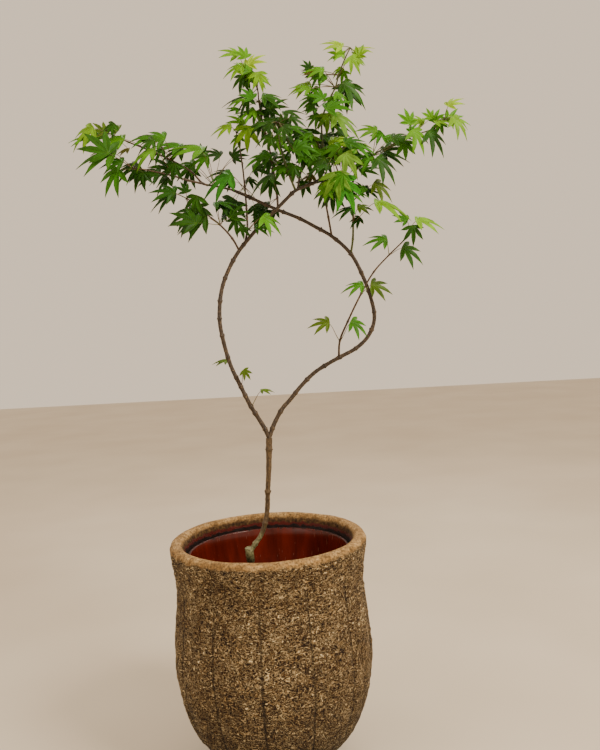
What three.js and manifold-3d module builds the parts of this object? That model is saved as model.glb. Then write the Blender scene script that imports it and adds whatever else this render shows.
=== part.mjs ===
// A young Japanese maple in a tall stoneware planter.
//
// Millimetres, +Z up. The origin is the centre of the planter's foot, on the surface it stands on.
// -Y is the front. The planter holds a glazed inner pot, the inner pot holds the soil, and the soil
// holds the trunk, which forks into two bowed stems that cross each other under the crown.

import * as THREE from 'three';
import { mergeVertices } from 'three/addons/utils/BufferGeometryUtils.js';
import Module from 'manifold-3d';

const wasm = await Module();
wasm.setup();

// ---------------------------------------------------------------- driving dimensions

const GAP = 0.3;                    // clearance between pieces that touch

const PLANTER_HEIGHT = 320;
const RIM_RADIUS = 135;
const RIM_WIDTH = 17;               // across the rounded top
const RIM_ROUND = 7;                // height of the rounded top above its widest level
const RIM_FLARE = 2;                // how much the side still widens just below the rim
const NECK_RADIUS = 128.5;
const NECK_HEIGHT = 265;
const BELLY_RADIUS = 136;
const BELLY_HEIGHT = 145;
const FOOT_RADIUS = 60;
const HEEL_RADIUS = 77;             // where the side leaves the foot's curve
const HEEL_HEIGHT = 21;
const FLANK_RADIUS = 114;           // halfway up to the belly
const FLANK_HEIGHT = 62;
const PLANTER_WALL = 18;
const PLANTER_FLOOR = 12;

const INNER_POT_HEIGHT = 288;
const INNER_POT_FOOT_RADIUS = 42;
const INNER_POT_WALL = 3.5;
const INNER_POT_PLAY = 2.6;         // round gap to the planter's mouth
const DRAIN_RADIUS = 5;
const DRAIN_CIRCLE = 31;            // radius of the circle of drain holes
const DRAIN_COUNT = 5;

const SOIL_HEIGHT = 216;            // above the inner pot's floor
const SOIL_CROWN = 5;               // how much the soil rises towards the trunk

const TRUNK_ROOT_RADIUS = 8;        // in the soil
const TRUNK_NECK_RADIUS = 6.4;      // just above the root
const TRUNK_STUB_RADIUS = 5.2;      // below the old pruning cut
const TRUNK_RADIUS = 3.3;           // above it
const FORK_RADIUS = 3.5;            // where it swells into the two stems
const STEM_BASE_RADIUS = 2.7;
const STEM_BOW_RADIUS = 2.5;        // where the stems bow out furthest
const STEM_TIP_RADIUS = 1.9;
const TWIG_BASE_RADIUS = 1.5;
const TWIG_TIP_RADIUS = 0.9;

const COLLAR_HEIGHT = 2.4;          // where a pair of leaf stalks meets round the twig
const COLLAR_THICKNESS = 1.6;
const COLLAR_SIDES = 6;
const COLLAR_MARGIN = 0.16;         // share of a straight piece that a collar keeps off its ends
const STALK_RADIUS = 0.7;
const STALK_SET = 1;                // how far from a collar's inside its stalks start
const BLADE_THICKNESS = 0.8;

const ROUND_STEPS = 32;             // facets round the planter
const SIDE_STEPS = 12;              // and up its side
const RIM_STEPS = 6;                // and over its rim
const STEM_SIDES = 6;
const TWIG_SIDES = 5;
const STEM_STEP = 18;               // length of a straight piece of a stem or twig

// ---------------------------------------------------------------- colours

const clay = new THREE.MeshStandardMaterial({ color: 0x8f6d3f, roughness: 0.9, metalness: 0 });
const glaze = new THREE.MeshStandardMaterial({ color: 0x4a130a, roughness: 0.25, metalness: 0 });
const earth = new THREE.MeshStandardMaterial({ color: 0x2a1c12, roughness: 1, metalness: 0 });
const bark = new THREE.MeshStandardMaterial({ color: 0x3d2c18, roughness: 0.75, metalness: 0 });
const shoot = new THREE.MeshStandardMaterial({ color: 0x4a3a1c, roughness: 0.6, metalness: 0 });
const leaf = new THREE.MeshStandardMaterial({ color: 0x3f7a1a, roughness: 0.5, metalness: 0 });

const group = new THREE.Group();

function place(name, solid, material) {
  const mesh = new THREE.Mesh(solid, material);
  mesh.name = name;
  group.add(mesh);
}

// ---------------------------------------------------------------- solids

// A closed mesh with shared vertices and its faces turned outwards.
function closed(geometry) {
  const bare = geometry.clone();
  bare.deleteAttribute('normal');
  bare.deleteAttribute('uv');
  const merged = mergeVertices(bare, 1e-4);
  const at = merged.attributes.position;
  const index = merged.index.array;
  const corner = (i) => new THREE.Vector3().fromBufferAttribute(at, index[i]);
  const faces = [];
  let volume = 0;
  for (let i = 0; i < index.length; i += 3) {
    if (index[i] === index[i + 1] || index[i + 1] === index[i + 2] || index[i] === index[i + 2]) {
      continue;
    }
    volume += corner(i).dot(corner(i + 1).cross(corner(i + 2)));
    faces.push([index[i], index[i + 1], index[i + 2]]);
  }
  merged.setIndex(faces.flatMap(([a, b, c]) => (volume < 0 ? [a, c, b] : [a, b, c])));
  return merged;
}

function toManifold(geometry) {
  const solid = closed(geometry);
  return new wasm.Manifold(new wasm.Mesh({
    numProp: 3,
    vertProperties: new Float32Array(solid.attributes.position.array),
    triVerts: new Uint32Array(solid.index.array),
  }));
}

function fromManifold(manifold) {
  const mesh = manifold.getMesh();
  const geometry = new THREE.BufferGeometry();
  geometry.setAttribute('position', new THREE.BufferAttribute(new Float32Array(mesh.vertProperties), 3));
  geometry.setIndex(new THREE.BufferAttribute(new Uint32Array(mesh.triVerts), 1));
  return geometry;
}

// Turns a profile of [radius, height] points round the Z axis.
function turned(profile, steps) {
  const points = profile.map(([radius, height]) => new THREE.Vector2(radius, height));
  return new THREE.LatheGeometry(points, steps).rotateX(Math.PI / 2);
}

function disc(radius, sides) {
  const shape = new THREE.Shape();
  for (let i = 0; i < sides; i += 1) {
    const angle = (2 * Math.PI * i) / sides;
    const point = [radius * Math.cos(angle), radius * Math.sin(angle)];
    if (i === 0) shape.moveTo(...point);
    else shape.lineTo(...point);
  }
  return shape;
}

// The points between which a branch is straight.
function stations(curve) {
  return curve.getSpacedPoints(Math.max(2, Math.round(curve.getLength() / STEM_STEP)));
}

// A tube along a curve, whose radius runs through the given radii from end to end.
function tapered(curve, radii, sides, grow = 0) {
  const centres = stations(curve);
  const steps = centres.length - 1;
  const widest = Math.max(...radii);
  const tube = new THREE.ExtrudeGeometry(disc(widest, sides), { steps, extrudePath: curve });
  const at = tube.attributes.position;
  const point = new THREE.Vector3();
  for (let i = 0; i < at.count; i += 1) {
    point.fromBufferAttribute(at, i);
    let nearest = 0;
    centres.forEach((centre, k) => {
      if (point.distanceTo(centre) < point.distanceTo(centres[nearest])) nearest = k;
    });
    const scale = (radiusAt(radii, nearest / steps) + grow) / widest;
    point.sub(centres[nearest]).multiplyScalar(scale).add(centres[nearest]);
    at.setXYZ(i, point.x, point.y, point.z);
  }
  return tube;
}

function radiusAt(radii, share) {
  const step = share * (radii.length - 1);
  const low = Math.min(Math.floor(step), radii.length - 2);
  return THREE.MathUtils.lerp(radii[low], radii[low + 1], step - low);
}

function route(points) {
  return new THREE.CatmullRomCurve3(points.map((p) => new THREE.Vector3(...p)), false, 'centripetal');
}

// ---------------------------------------------------------------- planter, inner pot and soil

// Half a turn of the rounded rim, from its outer side over the top to its inner side.
function rimRound(steps) {
  const half = RIM_WIDTH / 2;
  const points = [];
  for (let i = 0; i <= steps; i += 1) {
    const angle = (Math.PI * i) / steps;
    const radius = RIM_RADIUS - half + half * Math.cos(angle);
    points.push([radius, PLANTER_HEIGHT - RIM_ROUND + RIM_ROUND * Math.sin(angle)]);
  }
  return points;
}

const planterSide = new THREE.CatmullRomCurve3([
  [FOOT_RADIUS, 0], [HEEL_RADIUS, HEEL_HEIGHT], [FLANK_RADIUS, FLANK_HEIGHT],
  [BELLY_RADIUS, BELLY_HEIGHT], [NECK_RADIUS, NECK_HEIGHT],
  [RIM_RADIUS - RIM_FLARE, PLANTER_HEIGHT - RIM_WIDTH],
].map(([radius, height]) => new THREE.Vector3(radius, height, 0)));

const MOUTH_RADIUS = RIM_RADIUS - RIM_WIDTH;

function planterProfile() {
  const outside = planterSide.getPoints(SIDE_STEPS).map((p) => [p.x, p.y]);
  const inside = outside
    .map(([radius, height]) => [Math.min(radius, RIM_RADIUS) - PLANTER_WALL, height])
    .filter(([, height]) => height > HEEL_HEIGHT)
    .reverse();
  const floorRadius = HEEL_RADIUS - PLANTER_WALL - PLANTER_FLOOR;
  return [
    [0, 0], ...outside,
    ...rimRound(RIM_STEPS),
    ...inside, [floorRadius, PLANTER_FLOOR], [0, PLANTER_FLOOR],
  ];
}

place('planter', closed(turned(planterProfile(), ROUND_STEPS)), clay);

const innerPotBase = PLANTER_FLOOR + GAP;
const innerPotTop = innerPotBase + INNER_POT_HEIGHT;
const innerPotFloor = innerPotBase + INNER_POT_WALL;

// The planter's inside radius at a height above its heel.
function planterInside(height) {
  const side = planterSide.getPoints(SIDE_STEPS);
  const above = side.findIndex((p) => p.y >= height);
  const [low, high] = [side[above - 1], side[above]];
  return THREE.MathUtils.mapLinear(height, low.y, high.y, low.x, high.x) - PLANTER_WALL;
}

// The inner pot's outside radius at a height: a straight cone up to the planter's neck, and above
// it close along the planter's wall.
function innerPotRadius(height) {
  if (height > NECK_HEIGHT) return planterInside(height) - INNER_POT_PLAY;
  const neck = planterInside(NECK_HEIGHT) - INNER_POT_PLAY;
  return THREE.MathUtils.mapLinear(height, innerPotBase, NECK_HEIGHT, INNER_POT_FOOT_RADIUS, neck);
}

function innerPot() {
  const wall = INNER_POT_WALL;
  const bends = [NECK_HEIGHT, ...planterSide.getPoints(SIDE_STEPS).map((p) => p.y)];
  const levels = bends.filter((height) => height >= NECK_HEIGHT && height < innerPotTop - wall);
  const up = [innerPotBase, ...levels, innerPotTop].map((height) => [innerPotRadius(height), height]);
  const down = [innerPotTop, ...levels.reverse(), innerPotFloor]
    .map((height) => [innerPotRadius(height) - wall, height]);
  const cup = toManifold(turned([[0, innerPotBase], ...up, ...down, [0, innerPotFloor]], ROUND_STEPS));
  let pot = cup;
  for (let i = 0; i < DRAIN_COUNT; i += 1) {
    const angle = (2 * Math.PI * i) / DRAIN_COUNT;
    const drain = new THREE.CylinderGeometry(DRAIN_RADIUS, DRAIN_RADIUS, 4 * wall, 8);
    drain.rotateX(Math.PI / 2);
    drain.translate(DRAIN_CIRCLE * Math.cos(angle), DRAIN_CIRCLE * Math.sin(angle), innerPotFloor);
    pot = pot.subtract(toManifold(drain));
  }
  return fromManifold(pot);
}

place('inner_pot', innerPot(), glaze);

// ---------------------------------------------------------------- trunk and stems

const trunkCurve = route([
  [-30, -12, 165], [-27, -10, 215], [-25, -8, 260], [-25, -8, 286], [-24, -8, 300], [-18, -6, 310],
  [-10, -4, 320], [-3, -2, 337], [1, 0, 356], [3, 0, 380], [6, 0, 410], [8, 0, 439], [9, 0, 455],
]);
const trunkRadii = [
  TRUNK_ROOT_RADIUS, TRUNK_NECK_RADIUS, TRUNK_STUB_RADIUS, TRUNK_STUB_RADIUS, TRUNK_RADIUS,
  TRUNK_RADIUS, TRUNK_RADIUS, TRUNK_RADIUS, FORK_RADIUS,
];

const leftStemRoute = [
  [9, 0, 455], [4, -1, 468], [-6, -3, 487], [-13, -5, 500], [-25, -8, 528], [-37, -11, 558],
  [-45, -14, 593], [-48, -15, 622], [-43, -12, 661], [-31, -9, 690], [-17, -7, 712], [0, -6, 731],
  [18, -7, 749], [38, -8, 766], [50, -8, 777], [63, -6, 788], [90, 0, 799], [97, 3, 803],
];
const rightStemRoute = [
  [9, 0, 455], [17, 3, 474], [30, 6, 495], [39, 8, 504], [57, 10, 524], [76, 12, 541],
  [93, 14, 551], [111, 15, 560], [136, 16, 572], [152, 16, 586], [161, 15, 603], [163, 14, 618],
  [159, 12, 640], [152, 10, 663], [134, 6, 701], [109, 4, 726], [87, 4, 740], [67, 5, 752],
  [37, 7, 766], [17, 8, 776], [-2, 8, 786], [-22, 4, 795],
];

const STEM_RADII = [STEM_BASE_RADIUS, STEM_BASE_RADIUS, STEM_BOW_RADIUS, STEM_TIP_RADIUS];
const TWIG_RADII = [TWIG_BASE_RADIUS, TWIG_TIP_RADIUS];

// Every branch, by name: its curve, its radii and the neighbours that it is cut to fit against.
const branches = {
  trunk: { curve: trunkCurve, radii: trunkRadii, sides: STEM_SIDES, material: bark, neighbours: [] },
};

function branch(name, neighbours, points, radii, sides, material) {
  branches[name] = { curve: route(points), radii, sides, material, neighbours, count: points.length };
}

branch('right_stem', ['trunk'], rightStemRoute, STEM_RADII, STEM_SIDES, bark);
branch('left_stem', ['trunk', 'right_stem'], leftStemRoute, STEM_RADII, STEM_SIDES, bark);

function twig(name, parent, points) {
  branch(name, [parent], points, TWIG_RADII, TWIG_SIDES, shoot);
}

twig('lower_left_twig', 'left_stem', [
  [-17, -7, 712], [-25, -14, 728], [-40, -22, 746], [-60, -28, 763], [-80, -32, 781],
]);
twig('upright_left_twig', 'left_stem', [
  [-9, -6, 721], [-5, 0, 740], [-5, 8, 770], [-6, 14, 800], [-8, 18, 832], [-11, 20, 862], [-14, 20, 876],
]);
twig('left_arm', 'right_stem', [
  [-22, 4, 795], [-46, 0, 801], [-60, -2, 804], [-76, -4, 821], [-100, -6, 836], [-130, -8, 851],
  [-155, -10, 862], [-185, -12, 877],
]);
twig('left_arm_fork', 'left_arm', [
  [-60, -2, 804], [-78, -14, 807], [-98, -26, 812], [-128, -34, 819], [-148, -38, 822],
]);
twig('crossing_twig', 'left_stem', [
  [38, -8, 766], [38, -4, 780], [36, 4, 805], [33, 10, 832], [30, 12, 852], [26, 10, 870],
  [22, 8, 892], [20, 4, 910], [19, 0, 926], [12, 0, 940], [4, 0, 952],
]);
twig('left_fork_twig', 'left_stem', [
  [63, -6, 788], [57, -16, 803], [51, -24, 822], [46, -28, 842], [44, -30, 872],
]);
twig('right_fork_twig', 'left_stem', [
  [66, -5, 790], [69, 10, 806], [75, 22, 828], [80, 30, 850], [83, 32, 866],
]);
twig('leader_twig', 'left_stem', [
  [97, 3, 803], [101, 10, 815], [104, 16, 840], [103, 18, 862], [105, 18, 888], [115, 13, 911],
  [124, 8, 925], [129, 6, 940], [139, 4, 962], [146, 2, 974],
]);
twig('inner_right_twig', 'right_stem', [
  [109, 4, 726], [105, -10, 750], [101, -22, 776], [101, -28, 796], [112, -32, 822],
]);
twig('right_arm', 'right_stem', [
  [134, 6, 701], [137, -2, 720], [138, -8, 741], [139, -12, 770], [140, -14, 795], [147, -16, 812],
  [168, -18, 827], [195, -20, 839], [220, -22, 848], [250, -22, 857], [264, -22, 868],
]);
twig('lower_right_twig', 'right_stem', [
  [111, 15, 560], [113, 0, 584], [124, -12, 609], [143, -22, 645], [161, -26, 673], [182, -28, 694],
  [202, -29, 712], [210, -30, 722],
]);

function branchSolid({ curve, radii, sides }, grow = 0) {
  return toManifold(tapered(curve, radii, sides, grow));
}

for (const [name, entry] of Object.entries(branches)) {
  let solid = branchSolid(entry);
  for (const neighbour of entry.neighbours) {
    solid = solid.subtract(branchSolid(branches[neighbour], GAP));
  }
  place(name, fromManifold(solid), entry.material);
}

// The soil fills the inner pot up to its own height and fits round the trunk.
function soil() {
  const bottom = innerPotFloor + GAP;
  const top = innerPotFloor + SOIL_HEIGHT;
  const edge = (height) => innerPotRadius(height) - INNER_POT_WALL - GAP;
  const dome = [1, 1 / 2, 0].map((share) => [edge(top) * share, top + SOIL_CROWN * (1 - share * share)]);
  const mass = toManifold(turned([[0, bottom], [edge(bottom), bottom], ...dome], ROUND_STEPS));
  return fromManifold(mass.subtract(branchSolid(branches.trunk, GAP)));
}

place('soil', soil(), earth);

// ---------------------------------------------------------------- leaves

// The middle lobe and the two on each side of it: degrees from the midrib, share of its length.
const LOBES = [[0, 1], [38, 0.86], [82, 0.56]];
const NOTCH = 0.42;                 // how far out the notches between the lobes reach
const DROOP = 0.16;                 // how far a lobe's tip hangs below the blade's own plane
const TIP_UP = 52;                  // degrees that a level leaf's upper face tips up
const BLADE_FOOT = 0.07;            // how far the blade reaches behind the end of its stalk

// The outline of a leaf of unit length, its stalk at the origin and its midrib along +X.
function leafOutline() {
  const side = [];
  LOBES.forEach(([degrees, length], i) => {
    side.push([degrees, length]);
    const next = LOBES[i + 1];
    if (next) side.push([(degrees + next[0]) / 2, NOTCH * Math.sqrt(length * next[1])]);
  });
  const around = [...side, [180, BLADE_FOOT], ...side.slice(1).reverse().map(([a, r]) => [-a, r])];
  return around.map(([degrees, radius]) => {
    const angle = THREE.MathUtils.degToRad(degrees);
    return new THREE.Vector2(radius * Math.cos(angle), radius * Math.sin(angle));
  });
}

// A blade whose midrib points `aim` degrees up from +X in the XZ plane. Its upper face looks to the
// front and, the more level the midrib is, the further it tips up towards the light.
function blade([x, y, z, aim, length, tip = TIP_UP]) {
  const shape = new THREE.Shape(leafOutline().map((point) => point.multiplyScalar(length)));
  const plate = new THREE.ExtrudeGeometry(shape, { depth: BLADE_THICKNESS, bevelEnabled: false });
  plate.translate(0, 0, -BLADE_THICKNESS / 2);
  const at = plate.attributes.position;
  for (let i = 0; i < at.count; i += 1) {
    const reach = Math.hypot(at.getX(i), at.getY(i)) / length;
    at.setZ(i, at.getZ(i) - DROOP * length * reach * reach);
  }
  plate.applyMatrix4(bladeFrame(x, y, z, aim, tip));
  return plate;
}

function bladeFrame(x, y, z, aim, tip) {
  const angle = THREE.MathUtils.degToRad(aim);
  const tipped = -THREE.MathUtils.degToRad(tip) * Math.cos(angle);
  return new THREE.Matrix4().makeTranslation(x, y, z)
    .multiply(new THREE.Matrix4().makeRotationY(-angle))
    .multiply(new THREE.Matrix4().makeRotationX(Math.PI / 2 + tipped));
}

// The leaves that grow at one node of a branch: their stalks meet in a collar round it.
function spray(branchName, node, leaves) {
  const { curve, radii, count } = branches[branchName];
  const { centre, along, share } = seat(curve, node / (count - 1));
  const inner = (radiusAt(radii, share) + GAP) / Math.cos(Math.PI / COLLAR_SIDES);
  const outer = inner + COLLAR_THICKNESS;
  const half = COLLAR_HEIGHT / 2;
  const profile = [[inner, -half], [outer, 0], [inner, half], [inner, -half]];
  const collar = turned(profile, COLLAR_SIDES);
  const upright = new THREE.Quaternion().setFromUnitVectors(new THREE.Vector3(0, 0, 1), along);
  collar.applyQuaternion(upright).translate(centre.x, centre.y, centre.z);
  let whole = toManifold(collar);
  for (const entry of leaves) {
    whole = whole.add(toManifold(blade(entry)));
    whole = whole.add(toManifold(stalk(centre, along, inner + STALK_SET, entry)));
  }
  sprays.push([branchName, whole]);
}

// Where a collar sits: on the straight piece of the branch nearest to a share of its points,
// clear of both ends of that piece.
function seat(curve, pointShare) {
  const lengths = curve.getLengths();
  const points = stations(curve);
  const steps = points.length - 1;
  const along = (steps * lengths[Math.round(pointShare * (lengths.length - 1))]) / lengths.at(-1);
  const piece = Math.min(Math.floor(along), steps - 1);
  const part = THREE.MathUtils.clamp(along - piece, COLLAR_MARGIN, 1 - COLLAR_MARGIN);
  return {
    centre: points[piece].clone().lerp(points[piece + 1], part),
    along: points[piece + 1].clone().sub(points[piece]).normalize(),
    share: (piece + part) / steps,
  };
}

function stalk(centre, along, start, [x, y, z]) {
  const end = new THREE.Vector3(x, y, z);
  const way = end.clone().sub(centre);
  const out = way.clone().addScaledVector(along, -way.dot(along)).normalize();
  const line = new THREE.LineCurve3(centre.clone().addScaledVector(out, start), end);
  return new THREE.ExtrudeGeometry(disc(STALK_RADIUS, 3), { steps: 1, extrudePath: line });
}

const sprays = [];

// Each leaf: the end of its stalk (x, y, z), its midrib's aim in degrees and length, and, where it
// isn't the usual one, the tip of its upper face.
spray('left_stem', 3, [[2, -14, 522, 0, 15, 70]]);
spray('left_stem', 4, [[-20, -18, 551, -50, 13], [-42, 4, 564, 180, 18, 70]]);

spray('lower_left_twig', 2, [
  [-54, -50, 752, 195, 42], [-37, -4, 759, 12, 30, 70], [-46, -14, 775, 3, 34, 70],
]);
spray('lower_left_twig', 4, [
  [-72, -18, 765, 192, 38], [-64, -50, 779, 245, 28], [-93, -42, 785, 197, 36], [-82, -20, 790, 110, 14],
]);

spray('upright_left_twig', 1, [[-18, -20, 753, 268, 21], [18, -28, 752, -35, 30], [14, 14, 758, 200, 14]]);
spray('upright_left_twig', 3, [
  [-24, 20, 786, 232, 34], [5, 38, 778, -55, 32], [-28, 34, 824, 175, 30], [6, 36, 828, 10, 28],
]);
spray('upright_left_twig', 6, [
  [3, 4, 878, 265, 30], [-20, 8, 881, 188, 26], [-3, 26, 888, 140, 24], [-2, 36, 872, 20, 12],
]);

spray('right_stem', 20, [[-19, -48, 804, 205, 50]]);
spray('left_arm', 1, [
  [-57, -24, 843, 162, 46], [-62, 14, 846, 95, 14], [-38, 24, 846, 150, 24], [-22, 36, 846, 40, 22],
  [-76, 38, 838, 185, 34],
]);
spray('left_arm', 4, [[-98, 24, 832, 192, 44], [-90, 12, 858, 165, 40], [-104, -34, 858, 168, 34]]);
spray('left_arm', 5, [[-120, -24, 862, 172, 32], [-158, -28, 862, 180, 38]]);
spray('left_arm', 7, [
  [-162, -28, 877, 178, 28], [-160, 12, 858, 190, 16], [-198, -26, 879, 212, 38], [-190, 6, 880, 130, 20],
]);
spray('left_arm_fork', 2, [[-90, -50, 822, 252, 22], [-113, -62, 838, 200, 40], [-118, -6, 820, 175, 34]]);
spray('left_arm_fork', 4, [
  [-165, -54, 838, 183, 60], [-165, -40, 820, 228, 36], [-148, -6, 832, 190, 36], [-140, -22, 826, 215, 26],
]);

spray('crossing_twig', 1, [[33, -24, 806, 207, 36, 60], [26, 24, 778, 183, 26, 60]]);
spray('crossing_twig', 3, [[40, 28, 845, 180, 28], [24, -10, 834, 195, 28], [50, -14, 822, -15, 28]]);
spray('crossing_twig', 5, [[14, -10, 895, 200, 25], [32, 26, 892, -30, 28], [40, -8, 860, -40, 26]]);
spray('crossing_twig', 7, [
  [26, -14, 911, -6, 30], [2, -16, 908, 187, 22], [30, 20, 905, -55, 22],
]);
spray('crossing_twig', 8, [[21, -18, 941, 290, 22], [9, 14, 921, 181, 38, 65]]);
spray('crossing_twig', 10, [
  [1, -14, 952, 195, 25], [0, 12, 948, 250, 22], [-3, -20, 964, 150, 24], [8, 6, 960, 40, 24],
]);

spray('left_fork_twig', 1, [[63, -34, 814, 260, 17], [50, -30, 812, 200, 14]]);
spray('left_fork_twig', 4, [
  [36, -50, 852, 200, 22], [58, -54, 858, 0, 24], [52, -44, 880, 10, 24], [40, -22, 879, 195, 24],
  [68, -36, 840, -10, 28], [30, -42, 868, 175, 22],
]);
spray('right_fork_twig', 1, [[70, -4, 834, -18, 28], [88, 30, 814, 215, 22], [58, 42, 842, 170, 28]]);
spray('right_fork_twig', 4, [
  [86, -8, 858, 258, 24], [83, 20, 874, 268, 32], [70, 46, 862, 170, 22], [98, 50, 856, -5, 28],
]);

spray('leader_twig', 1, [[118, 20, 808, 182, 26], [98, -24, 835, 252, 24]]);
spray('leader_twig', 2, [
  [115, -6, 851, 4, 34], [102, 34, 868, -15, 26], [134, 20, 840, -5, 34], [88, -22, 857, 190, 22],
]);
spray('leader_twig', 4, [
  [100, 6, 889, 215, 20], [112, 0, 888, 263, 24], [118, 38, 884, -10, 26], [114, 30, 896, -10, 24],
  [120, -16, 881, -33, 44], [102, 32, 894, 170, 16],
]);
spray('leader_twig', 5, [[105, -8, 906, 130, 24], [122, -12, 911, -28, 22], [97, 24, 918, 198, 26]]);
spray('leader_twig', 6, [[108, -12, 942, 172, 26], [90, 8, 930, 188, 28], [136, 24, 935, -38, 44]]);
spray('leader_twig', 7, [[100, 18, 946, 150, 19], [144, -12, 957, -52, 22], [135, 20, 954, 218, 15]]);
spray('leader_twig', 9, [[134, -12, 971, 155, 25], [152, 8, 971, 22, 24]]);

spray('inner_right_twig', 2, [[111, -44, 790, 200, 24], [112, -8, 784, 270, 26]]);
spray('inner_right_twig', 4, [
  [113, -64, 797, -78, 34], [122, -52, 790, -62, 46], [128, -54, 822, -58, 32], [124, -30, 836, 190, 30],
  [138, -36, 838, -12, 34], [102, -58, 816, 215, 30],
]);

spray('right_arm', 2, [[137, -26, 757, 187, 26], [143, -32, 757, -5, 18], [166, -38, 762, -14, 55, 65]]);
spray('right_arm', 3, [[154, 2, 786, 140, 20], [168, -18, 790, -36, 30], [154, -34, 777, 130, 12]]);
spray('right_arm', 5, [[165, -32, 822, 200, 30], [170, -46, 816, -45, 38], [152, 4, 811, 18, 26]]);
spray('right_arm', 6, [
  [181, -4, 830, -3, 36], [146, -4, 846, -6, 24], [172, -30, 855, 165, 24], [192, -40, 842, 5, 26],
]);
spray('right_arm', 8, [
  [186, 8, 853, 12, 22], [214, -38, 860, 100, 18], [217, -50, 848, -56, 30], [238, -6, 868, 150, 20],
  [239, -38, 848, -48, 34],
]);
spray('right_arm', 10, [
  [250, -26, 863, 8, 20], [262, -4, 868, 240, 16], [266, -34, 881, 35, 20], [272, -10, 870, -3, 26],
  [269, -48, 862, -46, 30],
]);

spray('lower_right_twig', 1, [[98, -22, 609, 180, 25, 55], [128, -28, 609, -35, 26]]);
spray('lower_right_twig', 3, [[144, -40, 656, 185, 26], [159, -4, 657, -15, 28]]);
spray('lower_right_twig', 5, [[177, -46, 712, 178, 27], [203, -10, 704, -30, 32]]);
spray('lower_right_twig', 7, [[212, -44, 728, -86, 22], [212, 0, 741, 150, 18], [219, -32, 737, -6, 36]]);

const order = {};
for (const [branchName, whole] of sprays) {
  order[branchName] = (order[branchName] ?? 0) + 1;
  place(`${branchName}_leaves_${order[branchName]}`, fromManifold(whole), leaf);
}

export default group;
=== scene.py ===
# %% [markdown]
# A young Japanese maple in a tall stoneware planter.
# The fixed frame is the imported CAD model: it gives every place and size, in metres, with the
# origin under the centre of the planter's foot, +Z up and -Y at the front.
# Each plain CAD solid is then replaced by a finished piece that stands in the same space.

import math
import random

import bpy
from mathutils import Matrix, Vector, noise


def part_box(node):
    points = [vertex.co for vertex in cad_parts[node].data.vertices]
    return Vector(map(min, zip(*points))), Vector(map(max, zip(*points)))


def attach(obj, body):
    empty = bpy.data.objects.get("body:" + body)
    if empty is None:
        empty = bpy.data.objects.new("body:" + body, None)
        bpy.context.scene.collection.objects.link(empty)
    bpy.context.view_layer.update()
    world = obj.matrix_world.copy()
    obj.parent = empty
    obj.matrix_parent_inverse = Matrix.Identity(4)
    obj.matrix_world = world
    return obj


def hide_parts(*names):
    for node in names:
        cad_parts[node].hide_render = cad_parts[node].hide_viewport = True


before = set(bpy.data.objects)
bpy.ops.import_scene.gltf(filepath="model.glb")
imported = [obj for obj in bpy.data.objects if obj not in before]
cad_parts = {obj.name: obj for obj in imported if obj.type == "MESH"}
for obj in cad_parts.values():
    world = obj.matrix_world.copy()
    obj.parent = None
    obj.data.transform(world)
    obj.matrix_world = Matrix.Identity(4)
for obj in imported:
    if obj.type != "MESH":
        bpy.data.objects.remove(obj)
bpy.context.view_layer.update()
MM = 0.001

# %% [markdown]
# The camera stands a metre in front of the tree, at the height of its fork, and looks very
# slightly down, so that the planter's mouth shows as a narrow ellipse with its dark inside.
# It could be aimed at a target with a constraint, but a place and three angles are plainer, and
# nothing has to be kept alive for them.

# %% Camera
CAMERA_PLACE = Vector((0.056, -1.026, 0.602))
CAMERA_DIP = 3.48            # degrees below level
CAMERA_ROLL = -3.0           # degrees, turned about its own line of sight
CAMERA_LENS = 36.0

for thing in bpy.context.selected_objects:
    thing.select_set(False)
bpy.ops.object.camera_add(location=CAMERA_PLACE)
camera = bpy.context.object
aim = Matrix.Rotation(math.radians(90 - CAMERA_DIP), 4, "X")
roll = Matrix.Rotation(math.radians(CAMERA_ROLL), 4, "Z")
camera.matrix_world = Matrix.Translation(CAMERA_PLACE) @ aim @ roll
camera.data.lens = CAMERA_LENS
bpy.context.scene.camera = camera
print("camera at", tuple(camera.location))

# %% [markdown]
# A material here is a small tree of nodes, and these helpers keep each one short to read. They add
# their nodes to the material that was started last. `add` makes a node, `feed` fills or links its
# inputs by name, and `ramp` turns a grey value into colours. Colours are written as they look on
# screen, such as 8f6d3f, and turned into the linear values that light uses.

# %% Helpers for materials
def shade(hex_colour):
    """A linear colour from a screen colour."""
    parts = [int(hex_colour[i:i + 2], 16) / 255 for i in (0, 2, 4)]
    linear = [c / 12.92 if c <= 0.04045 else ((c + 0.055) / 1.055) ** 2.4 for c in parts]
    return (*linear, 1.0)


def new_finish(name):
    """Starts a material, and gives it with its surface node."""
    global tree
    finish = bpy.data.materials.new(name)
    finish.use_nodes = True
    tree = finish.node_tree
    return finish, tree.nodes["Principled BSDF"]


def fill(socket, value):
    if isinstance(value, bpy.types.NodeSocket):
        tree.links.new(value, socket)
    else:
        socket.default_value = shade(value) if isinstance(value, str) else value


def feed(node, **inputs):
    """Fills a node's inputs by name, with _ for each space."""
    for key, value in inputs.items():
        fill(node.inputs[key.replace("_", " ")], value)


def add(kind, settings=None, **inputs):
    node = tree.nodes.new("ShaderNode" + kind)
    for key, value in (settings or {}).items():
        setattr(node, key, value)
    feed(node, **inputs)
    return node


def maths(operation, first, second=0.0, third=0.0):
    node = add("Math", {"operation": operation})
    for socket, value in zip(node.inputs, (first, second, third)):
        fill(socket, value)
    return node.outputs[0]


def times(first, second):
    return maths("MULTIPLY", first, second)


def linear(value, slope, start):
    """The value times the slope, plus the start."""
    return maths("MULTIPLY_ADD", value, slope, start)


def shifted(value, grain, amount):
    """The value moved up and down by a noise, so that an edge drawn from it gets ragged."""
    return linear(maths("SUBTRACT", grain, 0.5), amount, value)


def above(value, low, high):
    """0 below low, 1 above high, and smooth between them."""
    smooth = {"interpolation_type": "SMOOTHSTEP"}
    return add("MapRange", smooth, Value=value, From_Min=low, From_Max=high).outputs["Result"]


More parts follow.
